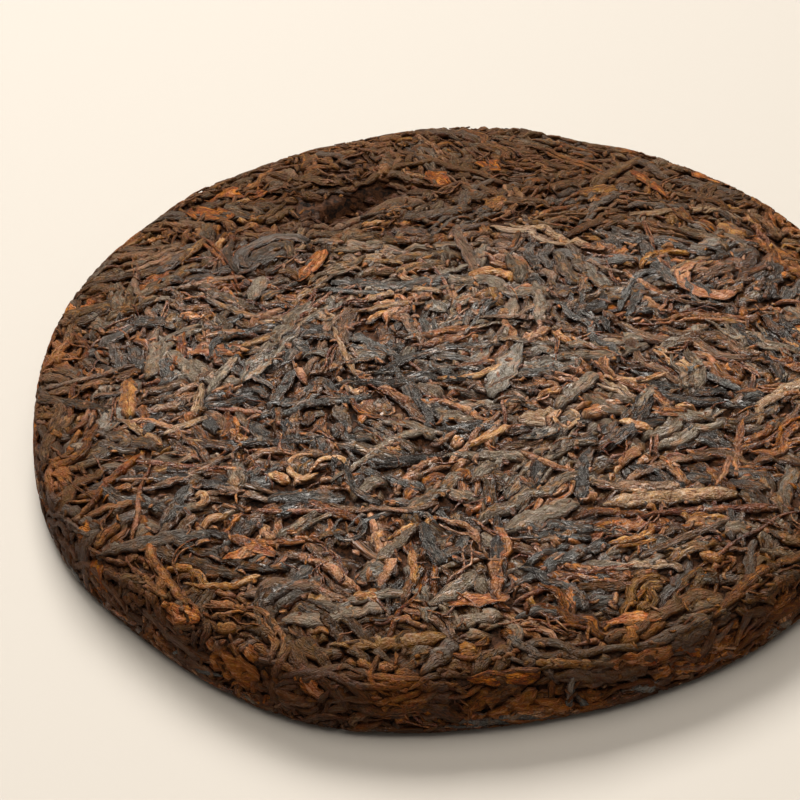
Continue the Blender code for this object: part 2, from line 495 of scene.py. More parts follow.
# The leaves that stand out on the face, which fell last: kind, place, heading, length, width, bend, tone.
# Places and sizes are millimetres, turns are degrees, and tone runs from the kind's dark to its light.
SHOWN_LEAVES = (
    ("rust_leaf", (-3, 71), -55, 8, 6.0, 0, 0.3),
    ("golden_tip", (36, 62), 11, 10, 5.0, 0, 0.1),
    ("rust_leaf", (49, 65), -61, 16, 3.0, 0, 0.4),
    ("rust_leaf", (-59, 63), -27, 13, 6.0, 0, 0.2),
    ("golden_tip", (10, 57), 51, 9, 4.6, 0, 0.0),
    ("black_leaf", (-4, 54), 12, 18, 4.4, 0, 0.5),
    ("pale_leaf", (-63, 47), 58, 11, 3.0, 0, 0.3),
    ("golden_tip", (67, 45), -33, 8, 4.6, 0, 0.1),
    ("rust_leaf", (-34, 35), 65, 14, 4.4, 0, 0.7),
    ("golden_tip", (48, 33), 27, 16, 2.6, -110, 0.3),
    ("dull_brown_leaf", (-47, 28), 73, 11, 4.6, 0, 1.0),
    ("golden_tip", (8, 27), -17, 13, 3.2, -120, 0.3),
    ("pale_leaf", (-13, 22), 1, 19, 2.2, -75, 0.6),
    ("pale_leaf", (-17, 17), 7, 18, 2.2, -35, 0.4),
    ("dull_brown_leaf", (18, 15), -92, 20, 3.4, 0, 0.9),
    ("rust_leaf", (56, 21), -54, 25, 4.0, 200, 1.0),
    ("pale_leaf", (-46, 7), 21, 9, 2.4, 0, 0.3),
    ("pale_leaf", (-27, 1), -75, 19, 2.0, 8, 0.8),
    ("broad_leaf", (-47, -3), 57, 11, 6.0, 0, 0.7),
    ("dull_brown_leaf", (-55, -4), 61, 13, 3.2, 0, 1.0),
    ("chestnut_leaf", (-37, -6), -68, 9, 2.2, 0, 0.9),
    ("golden_tip", (-76, -7), -88, 14, 4.6, 0, 0.1),
    ("broad_leaf", (9, -9), -114, 20, 6.0, -6, 1.0),
    ("golden_tip", (1, -10), 14, 15, 2.0, 45, 0.5),
    ("pale_leaf", (-60, -11), -101, 10, 3.2, 0, 0.9),
    ("black_leaf", (-41, -11), 63, 14, 3.4, 0, 0.7),
    ("golden_tip", (37, -13), 2, 17, 1.9, 60, 0.6),
    ("black_leaf", (-33, -16), 0, 24, 2.6, 20, 0.5),
    ("dull_brown_leaf", (24, -17), 51, 16, 4.6, 0, 0.9),
    ("dull_brown_leaf", (39, -20), 58, 9, 3.0, 0, 1.0),
    ("golden_tip", (-24, -75), 10, 6, 3.6, 0, 0.5),
    ("rust_leaf", (-1, -78), 5, 13, 4.0, 0, 0.6),
    ("golden_tip", (-53, -80), 0, 5, 3.4, 0, 0.4),
    ("rust_leaf", (30, -84), 5, 12, 3.2, 0, 0.8),
    ("golden_tip", (-5, -90), 0, 6, 3.6, 0, 0.3),
    ("dull_brown_leaf", (-6, -75), 40, 13, 4.4, 20, 1.0),
    ("dull_brown_leaf", (-2, -83), 15, 12, 4.0, -30, 0.9),
    ("black_leaf", (-10, -92), 45, 11, 4.6, 0, 0.9),
    ("red_stem", (-79, -35), 55, 24, 2.8, -20, 0.2),
    ("red_stem", (-72, -42), -97, 26, 1.5, 10, 0.9),
    ("black_leaf", (-69, -54), 4, 25, 4.4, -16, 0.8),
    ("dark_brown_leaf", (-62, -35), 24, 20, 3.0, 30, 0.6),
    ("black_leaf", (-64, -44), 64, 13, 3.8, 5, 0.6),
    ("dull_brown_leaf", (-51, -36), -89, 11, 4.6, 0, 0.5),
    ("black_leaf", (-36, -46), -10, 17, 4.8, -12, 0.7),
    ("red_stem", (-40, -49), -10, 24, 1.5, 22, 0.9),
    ("chestnut_leaf", (-69, -66), -53, 12, 2.2, 12, 0.6),
    ("chestnut_leaf", (-65, -66), -61, 17, 2.4, 0, 0.5),
    ("pale_leaf", (-73, -19), -46, 16, 2.3, -14, 0.4),
    ("pale_leaf", (-63, -19), 22, 11, 2.2, -10, 0.9),
    ("golden_tip", (-54, -68), 2, 17, 1.9, 60, 0.8),
    ("rust_leaf", (-50, -60), 15, 8, 3.4, -15, 0.9),
    ("crumpled_leaf", (-45, -54), -56, 7, 2.8, 0, 1.0),
    ("rust_leaf", (-46, -59), -35, 8, 3.0, 10, 0.5),
    ("golden_tip", (-58.7, -43.3), 100, 7, 2.4, 250, 1.0),
    ("broad_leaf", (-37, -37), 60, 7, 5.0, 0, 0.2),
    ("golden_tip", (-37, -40), 10, 6, 3.0, 0, 1.0),
    ("golden_tip", (-37, -37), 90, 17, 1.6, -270, 0.75),
    ("golden_tip", (-31, -37), 0, 14, 1.5, -200, 0.65),
    ("golden_tip", (-42, -39), -36, 6, 3.0, 0, 0.6),
    ("black_leaf", (-14, -37), 4, 18, 2.8, 20, 0.4),
    ("dull_brown_leaf", (3, -37), -6, 19, 3.1, -20, 0.8),
    ("chestnut_leaf", (16, -40), -31, 14, 2.1, 6, 0.8),
    ("dull_brown_leaf", (13.5, -55), 24, 18, 5.6, -25, 1.0),
    ("pale_leaf", (15, -26), 5, 9, 6.2, 20, 0.9),
    ("golden_tip", (21, -27), 0, 15, 1.3, 320, 1.0),
    ("golden_tip", (4, -31), 28, 11, 2.4, 0, 0.4),
    ("golden_tip", (-17, -34), 0, 4, 2.1, 0, 0.5),
    ("dull_brown_leaf", (-13, -27), -28, 13, 3.0, -50, 0.7),
    ("black_leaf", (-25, -44), -62, 16, 1.9, 80, 0.6),
    ("black_leaf", (-15, -44), -23, 10, 3.6, 0, 0.7),
    ("dark_brown_leaf", (-20, -51), -4, 25, 1.9, 35, 0.9),
    ("black_leaf", (-27, -57), 0, 17, 1.3, 290, 0.6),
    ("golden_tip", (-21, -59), 70, 5, 3.0, 0, 0.5),
    ("dull_brown_leaf", (-17, -61), 48, 14, 3.4, 0, 0.6),
    ("golden_tip", (-14, -57), 28, 12, 2.2, -25, 0.3),
    ("black_leaf", (-10, -62), -74, 13, 3.4, 0, 0.8),
    ("golden_tip", (-14, -68), -88, 10, 2.3, -20, 0.6),
    ("pale_leaf", (41, -51), 6, 30, 4.6, -6, 0.65),
    ("red_stem", (49, -55), 6, 37, 2.4, -22, 0.5),
    ("golden_tip", (36, -29), -22, 8, 2.8, 12, 0.7),
    ("chestnut_leaf", (58, -35), -103, 19, 2.2, 6, 0.6),
    ("chestnut_leaf", (54, -42), -112, 12, 1.9, -15, 0.8),
    ("crumpled_leaf", (43, -43), -55, 11, 2.6, 15, 0.6),
    ("dark_brown_leaf", (43, -63), 28, 23, 2.1, 0, 0.8),
    ("golden_tip", (48, -68), -15, 5, 3.0, 0, 0.3),
    ("chestnut_leaf", (53, -77), 48, 19, 3.2, -16, 0.3),
    ("pale_leaf", (-20, -87), -1, 24, 3.8, 8, 0.4),
    ("rust_leaf", (32, -94), 15, 14, 4.4, 20, 0.9),
    ("golden_tip", (16, -95), -5, 13, 3.0, 10, 0.5),
    ("rust_leaf", (3, -98), 0, 15, 3.6, 0, 0.2),
    ("rust_leaf", (9, -107), 5, 20, 7.0, 0, 0.6),
    ("rust_leaf", (-54, -90), -32, 13, 7.0, 0, 0.5),
)
SHOWN_STEP = 0.6
SHOWN_GNARL = 0.3
DEEPEST = 2.0
for name, place, heading, length, width, bend, tone in SHOWN_LEAVES:
    kind = leaf_kinds[name]
    wobble = [(SHOWN_GNARL * rng.normal(0, kind["gnarl"]), rng.random() * FULL_TURN) for _ in range(3)]
    steps = max(8, int(length / SHOWN_STEP))
    route = route_of(place, math.radians(heading), length, math.radians(bend), wobble, steps)
    depth = min(DEEPEST, width * sum(kind["depths"]) / 2)
    lay(beds["top"], name, route, width, depth, tone=tone, seed=rng.random(4))

# Redder leaf lies together in places down the side: (x, y, reach) over the skin, in millimetres. Those
# at the back are scattered.
RUSTY_PLACES = [
    (10, -107, 10), (-2, -105, 6), (22, -105, 6), (-19, -99, 9), (-54, -90, 9), (-75, -79, 6),
    (54, -91, 7), (66, -79, 7), (-93, 12, 8), (-91, -30, 6),
]
for _ in range(14):
    around = rng.uniform(-0.1, 1.1) * math.pi
    spread = rng.uniform(96, 110)
    RUSTY_PLACES.append((spread * math.cos(around), spread * math.sin(around), rng.uniform(5, 10)))

for side, bed in beds.items():
    lay_crumbs(bed, reaches[side], CRUMBS_LAID[side])
    bed["level"] = blurred(bed["height"], LEVEL_REACH)


# One crevice is torn near the rim, where the leaf that crossed it has sunk: (x, y, heading) over the skin,
# its reach along and across, and its depth, in millimetres. The core falls away under it a little more.
CREVICE = (-24.0, 65.5, math.radians(30))
CREVICE_REACH = (10.0, 3.4)
CREVICE_DEPTH = 5.0
CORE_FALLS = 1.3


def torn(bed, u, v):
    """How deep the crevice is at a place on the face, in millimetres."""
    from_middle = (u - CREVICE[0], v - CREVICE[1])
    along = from_middle[0] * math.cos(CREVICE[2]) + from_middle[1] * math.sin(CREVICE[2])
    across = from_middle[1] * math.cos(CREVICE[2]) - from_middle[0] * math.sin(CREVICE[2])
    fall = np.exp(-((along / CREVICE_REACH[0]) ** 4) - (across / CREVICE_REACH[1]) ** 4)
    return CREVICE_DEPTH * fall * (bed["side"] == "top")


# Pressing takes out the heap's slow rises, partly closes its deeper gaps, and flattens what still stands
# proud to the skin: gently on the top, flatter on the side and the underside, which the bag held.
OPEN_GAP = 0.9
GAP_LEFT = 0.6
FLATTER_FROM = 94.0
FLATTER_OVER = 5.0
TOP_CEILING = 0.75
SIDE_FLATTER = 0.40
TOP_SOFTNESS = 0.20
SIDE_SOFTER = 0.06
SKIN_SOFTNESS = 0.07
SKIN_GAP = 0.01


def pressed(bed, u, v, height):
    """How far a point of the heap stands proud of the skin once pressed; never above it."""
    over = height - bed["level"][cells_at(bed, u, v)]
    over = np.where(over < -OPEN_GAP, -OPEN_GAP + GAP_LEFT * (over + OPEN_GAP), over)
    on_side = np.clip((np.hypot(u, v) - FLATTER_FROM) / FLATTER_OVER, 0, 1)
    if bed["side"] == "under":
        on_side = np.ones_like(over)
    ceiling = TOP_CEILING - SIDE_FLATTER * on_side
    softness = TOP_SOFTNESS + SIDE_SOFTER * on_side
    return -softness * np.logaddexp(0, -(over - ceiling) / softness)


def under_skin(proud):
    """The same depth, eased so that nothing passes the skin."""
    return -SKIN_SOFTNESS * np.logaddexp(0, -proud / SKIN_SOFTNESS) - SKIN_GAP


# ------------------------------------------------------------------------
# The leaves
# Tea leaf is rolled and twisted before it is dried, so each one is a wrinkled strip with folded-in
# edges. They are made kind by kind as joined meshes, each leaf a short ridged tube closed at its ends.
# ------------------------------------------------------------------------
def wander(along, wave, shape):
    """Slow random waves along each leaf, about -1 to 1: one set of phases for each leaf and each lane."""
    total = 0.0
    for size, stretch in ((0.62, 1.0), (0.38, 0.47)):
        phase = rng.random(shape) * 2 * math.pi
        total = total + size * np.sin(2 * math.pi * along / (wave * stretch) + phase)
    return total


LANES_CROWDED = 1.25


def ring_of(around):
    """The places round a leaf's section: lanes across its upper face, then two back along its under face."""
    over = around - 2
    upper_lanes = np.sin(np.linspace(1, -1, over) * LANES_CROWDED) / math.sin(LANES_CROWDED)
    lanes = np.concatenate([upper_lanes, [-0.5, 0.5]])
    upper = np.concatenate([np.ones(over), np.zeros(2)])
    return lanes[None, None, :], upper[None, None, :]


# What chance gives each leaf: the least, and what a draw from 0 to 1 adds. Its tip and its torn stub narrow
# to a share of its width, over a share of its length. Its folds wind round it once in so many millimetres.
TIP_WIDTH = (0.15, 0.45)
TIP_LENGTH = (0.12, 0.35)
STUB_WIDTH = (0.2, 0.5)
STUB_LENGTH = (0.08, 0.2)
FOLD_PITCH = (5.0, 9.0)
BLADE_CURL = (0.15, 0.6)
# Slow waves, as size and length in millimetres: its edges in and out, its depth, its folds, and a blade.
# Depth and folds fade to a kept share of themselves, the one at the ends and the other at the edges.
EDGE_WAVE = (0.22, 5.0)
DEPTH_WAVE = (0.2, 6.0)
FOLD_WAVE = (0.6, 6.0)
BLADE_WAVE = (0.45, 7.0)
WINDING = 0.6
UNWOUND_SHARE = 0.3
CRINKLE = 0.28
ARCH_POWER = 2.4
KEPT_AT_ENDS = 0.35
ROLL_SWING = 0.45
ROLL_LENGTH = 4.5


def drawn(least_and_more, chance):
    """A size from its least and what chance adds to it."""
    least, more = least_and_more
    return least + more * chance


def narrowed(share, least, over, power):
    """How an end narrows, from its least share of the width up to all of it."""
    return least + (1 - least) * np.clip(share / over, 0, 1) ** power


def rolled_leaves(width, thickness, seed, along, around, blade):
    """Unpressed leaves as (leaf, station, round) arrays: places across, heights, depth, arch and crest."""
    count, stations = along.shape[:2]
    share = np.linspace(0, 1, stations)[None, :]
    by_seed = seed[:, :, None, None]
    lanes, upper = ring_of(around)
    # Each end is drawn in: one nearly to a point, the other to a torn stub.
    tip_width = drawn(TIP_WIDTH, seed[:, 3:4] ** 2)
    tip = narrowed(share, tip_width, drawn(TIP_LENGTH, seed[:, :1]), 0.9)
    stub = narrowed(1 - share, drawn(STUB_WIDTH, seed[:, 2:3]), drawn(STUB_LENGTH, seed[:, 1:2]), 0.8)
    taper = tip * stub
    # Its two edges wander on their own, and folds run along it that fade, drift and wind round it.
    edge_wave = [1 + EDGE_WAVE[0] * wander(along, EDGE_WAVE[1], (count, 1, 1)) for _ in range(2)]
    outline = np.where(lanes > 0, edge_wave[0], edge_wave[1])
    swell = 1 + DEPTH_WAVE[0] * wander(along, DEPTH_WAVE[1], (count, 1, 1))
    across = lanes * outline * (width / 2 * taper)[..., None]
    depth = (thickness * (KEPT_AT_ENDS + (1 - KEPT_AT_ENDS) * taper))[..., None] * swell
    arch = np.maximum(0, 1 - np.abs(lanes) ** ARCH_POWER) ** 0.5
    wound = 1.2 * lanes + along / drawn(FOLD_PITCH, by_seed[:, 1])
    winding = np.sin(2 * math.pi * wound + FULL_TURN * by_seed[:, 2])
    folds = FOLD_WAVE[0] * wander(along, FOLD_WAVE[1], (count, 1, around))
    folds = folds + WINDING * winding * (by_seed[:, 0] > UNWOUND_SHARE)
    crinkle = rng.normal(0, CRINKLE, (count, stations, around))
    folds = (folds + crinkle) * upper * (KEPT_AT_ENDS + (1 - KEPT_AT_ENDS) * arch)
    if blade:
        # A blade is thin, with its edges curled up and a slow wave through it.
        curl = np.abs(lanes) ** 2 * drawn(BLADE_CURL, by_seed[:, 1])
        lift = (0.25 + 0.5 * upper) * (0.4 + 0.6 * arch) - 0.5 + 0.9 * curl + 0.35 * folds
        lift = lift + BLADE_WAVE[0] * wander(along + 1.2 * across, BLADE_WAVE[1], (count, 1, 1))
    else:
        lift = (upper - 0.5) * arch + 0.26 * folds
    # The crest is paler along ridges, and darker into folds and towards the edges; that darkening is painted
    # shade.
    crest = np.clip(0.45 + 0.5 * folds + 0.25 * (arch - 0.6), 0, 1) + 0 * across
    height = lift * depth
    # Each leaf rolls over a little on its way, the narrow ones most.
    roll = (seed[:, 2:3] - 0.5) * 0.7
    roll = roll + ROLL_SWING * np.sin(along[..., 0] / ROLL_LENGTH + FULL_TURN * seed[:, 0:1])
    roll = (roll * np.clip(1.5 - width / 4, 0.12, 1))[..., None]
    turned = across * np.cos(roll) - height * np.sin(roll)
    height = height * np.cos(roll) + 0.6 * across * np.sin(roll)
    return turned, height, depth, arch, crest


# The rim and side are darkened with painted shade, from one spread over the skin to another, and so is the
# top past a line across it. The middle of the face carries a painted pale sheen.
RIM_SHADE_FROM = 70.0
RIM_SHADE_OVER = 30.0
FAR_SHADE_FROM = 22.0
FAR_SHADE_OVER = 45.0
FAR_SHADE = 0.82
SHEEN_REACH = 38.0


def shade_sheen_and_rust(side, u, v):
    """How much the painted shade, the painted sheen and the rust colour the skin at chart coordinates, each
    from 0 to 1.
    """
    if side == "under":
        return np.zeros_like(u), np.zeros_like(u), 0 * u
    # Painted shade: darker towards the rim and down the side, and over the far part of the top.
    flank = np.clip((np.hypot(u, v) - RIM_SHADE_FROM) / RIM_SHADE_OVER, 0, 1) ** 1.5
    flank = np.maximum(flank, FAR_SHADE * np.clip((v - FAR_SHADE_FROM) / FAR_SHADE_OVER, 0, 1))
    # Painted sheen: pale grey, strongest in the middle of the face.
    painted_sheen = np.exp(-(u**2 + v**2) / SHEEN_REACH**2)
    rusty = 0 * u
    for x, y, reach in RUSTY_PLACES:
        rusty = np.maximum(rusty, np.exp(-((u - x) ** 2 + (v - y) ** 2) / reach**2))
    return flank, painted_sheen, rusty


# How far down a point takes the full painted shade of sunk leaf, in millimetres, and how leaf is worn along
# its two sides.
FULL_SHADE_DEPTH = 4.0
WORN_SIDES = 0.62
UNWORN_SHARE = 0.35
WRINKLED = (0.15, 0.75)


def leaf_points(bed, leaves, around, blade):
    """Leaves with equal stations as (leaf, station, round) arrays: chart coordinates, depths and looks."""
    middle = np.array([leaf["middle"] for leaf in leaves])
    width = np.array([leaf["width"] for leaf in leaves])[:, None]
    thickness = np.array([leaf["thickness"] for leaf in leaves])[:, None]
    seed = np.array([leaf["seed"] for leaf in leaves])
    by_seed = seed[:, :, None, None]
    steps = np.linalg.norm(np.diff(middle[..., :2], axis=1), axis=-1)
    along = np.concatenate([np.zeros((len(leaves), 1)), np.cumsum(steps, axis=1)], axis=1)[..., None]
    turned, height, depth, arch, crest = rolled_leaves(width, thickness, seed, along, around, blade)
    left = sideways(middle[..., :2])
    u = middle[..., None, 0] + left[..., None, 0] * turned
    v = middle[..., None, 1] + left[..., None, 1] * turned
    # The whole stack at a place is pressed together, so a leaf dips under what lies across it.
    own_top = middle[..., 2] + depth[..., 0]
    stack_top = np.maximum(bed["height"][cells_at(bed, middle[..., 0], middle[..., 1])], own_top)
    crown = pressed(bed, middle[..., 0], middle[..., 1], stack_top) - (stack_top - own_top)
    sunk = torn(bed, middle[..., 0], middle[..., 1]).max(axis=1)[:, None]
    proud = under_skin((crown - sunk)[..., None] - 0.5 * depth + height)
    # Most leaves are also worn rusty along their two sides.
    lanes, upper = ring_of(around)
    flank, painted_sheen, rusty = shade_sheen_and_rust(bed["side"], u, v)
    worn_sides = np.clip((np.abs(lanes) - 0.5) / 0.3, 0, 1) * upper * (by_seed[:, 3] > UNWORN_SHARE)
    looks = {
        "crest": crest,
        # Painted shade: leaf lying lower under the skin, and the two edges of each leaf's upper face, are
        # darkened in the material.
        "shade_depth": np.clip(-proud / FULL_SHADE_DEPTH + 0.35 * (1 - arch) ** 1.5 * upper, 0, 1),
        "flank": flank,
        "rusty": np.maximum(rusty, WORN_SIDES * worn_sides),
        "painted_sheen": painted_sheen,
        "tone": np.array([leaf["tone"] for leaf in leaves])[:, None, None] + 0 * u,
        "wrinkled": drawn(WRINKLED, by_seed[:, 2]) + 0 * u,
    }
    return u, v, proud, looks


def tube_faces(stations, around):
    """Corner lists of one closed tube: quads round it, then the two end faces."""
    station, place = np.meshgrid(np.arange(stations - 1), np.arange(around), indexing="ij")
    onward = (place + 1) % around
    quads = np.stack(
        [station * around + place, station * around + onward,
         (station + 1) * around + onward, (station + 1) * around + place], -1
    ).reshape(-1, 4)
    start = np.arange(around)[::-1]
    finish = np.arange(around) + (stations - 1) * around
    return quads, start, finish


# A leaf laid open fills most of its own cell of the flat layout, from 0 to 1 both ways, between its ends.
END_RADIUS = 0.42
END_DEPTH = 0.06
OPEN_FROM = 0.16
OPEN_SHARE = 0.68
END_PLACES = (0.075, 0.925)


def laid_open(quads, stations, around):
    """One tube's corners laid open: places round and along its cell, and how far along its grain they lie."""
    quad_round = (quads[:, :1] % around + np.array([0, 1, 1, 0])[None, :]) / around
    quad_along = (quads[:, :1] // around + np.array([0, 0, 1, 1])[None, :]) / (stations - 1)
    ring = np.arange(around) * 2 * math.pi / around
    end_round = 0.5 + END_RADIUS * np.cos(ring)
    end_along = END_DEPTH * np.sin(ring)
    laid_round = np.concatenate([quad_round.reshape(-1), end_round, end_round])
    middle_along = OPEN_FROM + OPEN_SHARE * quad_along.reshape(-1)
    laid_along = np.concatenate([middle_along, END_PLACES[0] - end_along, END_PLACES[1] + end_along])
    grain_along = np.concatenate([quad_along.reshape(-1), end_along, 1 + end_along])
    return laid_round, laid_along, grain_along


# Cells of the flat layout are this many times wider than tall, with a bare margin at their sides and ends.
CELL_WIDER = 2.2
SIDE_MARGIN = 0.04
END_MARGIN = 0.03
CRUMB_NAME = "leaf_crumb"
GRAIN_SHIFT = 90
DULL_FROM = 0.3
DULL_MIXED = 0.4


def joined_mesh(name, batches):
    """One mesh of many closed tubes, from batches of leaves that have the same stations and points round."""
    places, loops, totals, finishes, grain, atlas = [], [], [], [], [], []
    looks = {label: [] for label in batches[0]["looks"]}
    cell_total = sum(len(batch["points"]) for batch in batches)
    columns = max(1, int(math.ceil(math.sqrt(cell_total / CELL_WIDER))))
    rows = int(math.ceil(cell_total / columns))
    vertex_base = 0
    cell = 0
    for batch in batches:
        count, stations, around = batch["points"].shape[:3]
        spans, shifts = batch["spans"], batch["shifts"]
        each = stations * around
        places.append(batch["points"].reshape(-1, 3))
        for label, values in batch["looks"].items():
            looks[label].append(values.reshape(-1))
        quads, start, finish = tube_faces(stations, around)
        one = np.concatenate([quads.reshape(-1), start, finish])
        sizes = np.concatenate([np.full(len(quads), 4), [around, around]])
        offsets = vertex_base + np.arange(count)[:, None] * each
        loops.append((one[None, :] + offsets).reshape(-1))
        totals.append(np.tile(sizes, count))
        mixed = DULL_MIXED * (shifts[:, 0] / GRAIN_SHIFT - 0.5)
        dull = batch["looks"]["flank"].mean(axis=(1, 2)) + mixed > DULL_FROM
        finishes.append(np.repeat(dull.astype(np.int32), len(sizes)))
        laid_round, laid_along, grain_along = laid_open(quads, stations, around)
        number = cell + np.arange(count)
        left = (number % columns)[:, None] + SIDE_MARGIN + (1 - 2 * SIDE_MARGIN) * laid_round[None, :]
        low = (number // columns)[:, None] + END_MARGIN + (1 - 2 * END_MARGIN) * laid_along[None, :]
        atlas.append(np.stack([left / columns, low / rows], -1).reshape(-1, 2))
        grain_u = laid_round[None, :] * spans[:, :1] + shifts[:, :1]
        grain_v = grain_along[None, :] * spans[:, 1:] + shifts[:, 1:]
        grain.append(np.stack([grain_u, grain_v], -1).reshape(-1, 2))
        vertex_base += count * each
        cell += count
    places = np.concatenate(places) * MM
    loops = np.concatenate(loops)
    totals = np.concatenate(totals)
    mesh = bpy.data.meshes.new(name)
    mesh.vertices.add(len(places))
    mesh.vertices.foreach_set("co", places.reshape(-1))
    mesh.loops.add(len(loops))
    mesh.loops.foreach_set("vertex_index", loops.astype(np.int32))
    mesh.polygons.add(len(totals))
    mesh.polygons.foreach_set("loop_start", np.concatenate([[0], np.cumsum(totals)[:-1]]).astype(np.int32))
    mesh.polygons.foreach_set("loop_total", totals.astype(np.int32))
    mesh.polygons.foreach_set("material_index", np.concatenate(finishes))
    mesh.update(calc_edges=True)
    mesh.validate()
    if name != CRUMB_NAME:
        mesh.shade_smooth()
    for layer, columns_of in (("grain", grain), ("OFBake", atlas)):
        uv = mesh.uv_layers.new(name=layer)
        uv.uv.foreach_set("vector", np.concatenate(columns_of).reshape(-1))
    for label, values in looks.items():
        attribute = mesh.attributes.new(label, "FLOAT", "POINT")
        attribute.data.foreach_set("value", np.concatenate(values).astype(np.float32))
    obj = bpy.data.objects.new(name, mesh)
    bpy.context.scene.collection.objects.link(obj)
    return obj


def colour(code):
    """An sRGB hex code as linear red, green, blue and alpha."""
    channels = [int(code[i:i + 2], 16) / 255 for i in (1, 3, 5)]
    return tuple(c / 12.92 if c <= 0.04045 else ((c + 0.055) / 1.055) ** 2.4 for c in channels) + (1.0,)


def add(tree, kind, links=None, out=0, **settings):
    """Adds one node, with its settings by name and its inputs and links by socket, and returns an output."""
    node = tree.nodes.new("ShaderNode" + kind)
    for name, value in settings.items():
        setattr(node, name, value)
    for socket, source in (links or {}).items():
        if isinstance(source, bpy.types.NodeSocket):
            tree.links.new(source, node.inputs[socket])
        else:
            node.inputs[socket].default_value = source
    return node.outputs[out]


# Pressed dark tea leaf, rolled and dried: tight lengthwise wrinkles about 0.7 mm apart whose furrows are
# painted near-black as shade, paler dry crests, and worn edges where the orange-brown shows. Most of it has a
# waxy shine that only the crests catch, and the rim is rubbed dull. Patterns are scaled in millimetres on the
# open leaf.
FURROWS_PER_MM = 1.5
FURROW_LENGTH_MM = 6.0
PEBBLES_PER_MM = (2.6, 1.6, 1.0)
WARP_MM = (1.4, 1.4, 0.0)
WRINKLE_DEPTH = 0.0005
FINISHES = (("waxy_", 0.45), ("dull_", 0.18))
RIM_SHADE_TAKEN = 0.84
SHADED_TOP_BROWN = "#4b2f15"
SHADED_SIDE_BROWN = "#492c1d"
PAINTED_SHEEN_GREY = "#a2968b"
RUST_DARK = "#3a1505"
RUST_LIGHT = "#a05a22"
PAINTED_SHADE_BROWN = "#3e1d08"


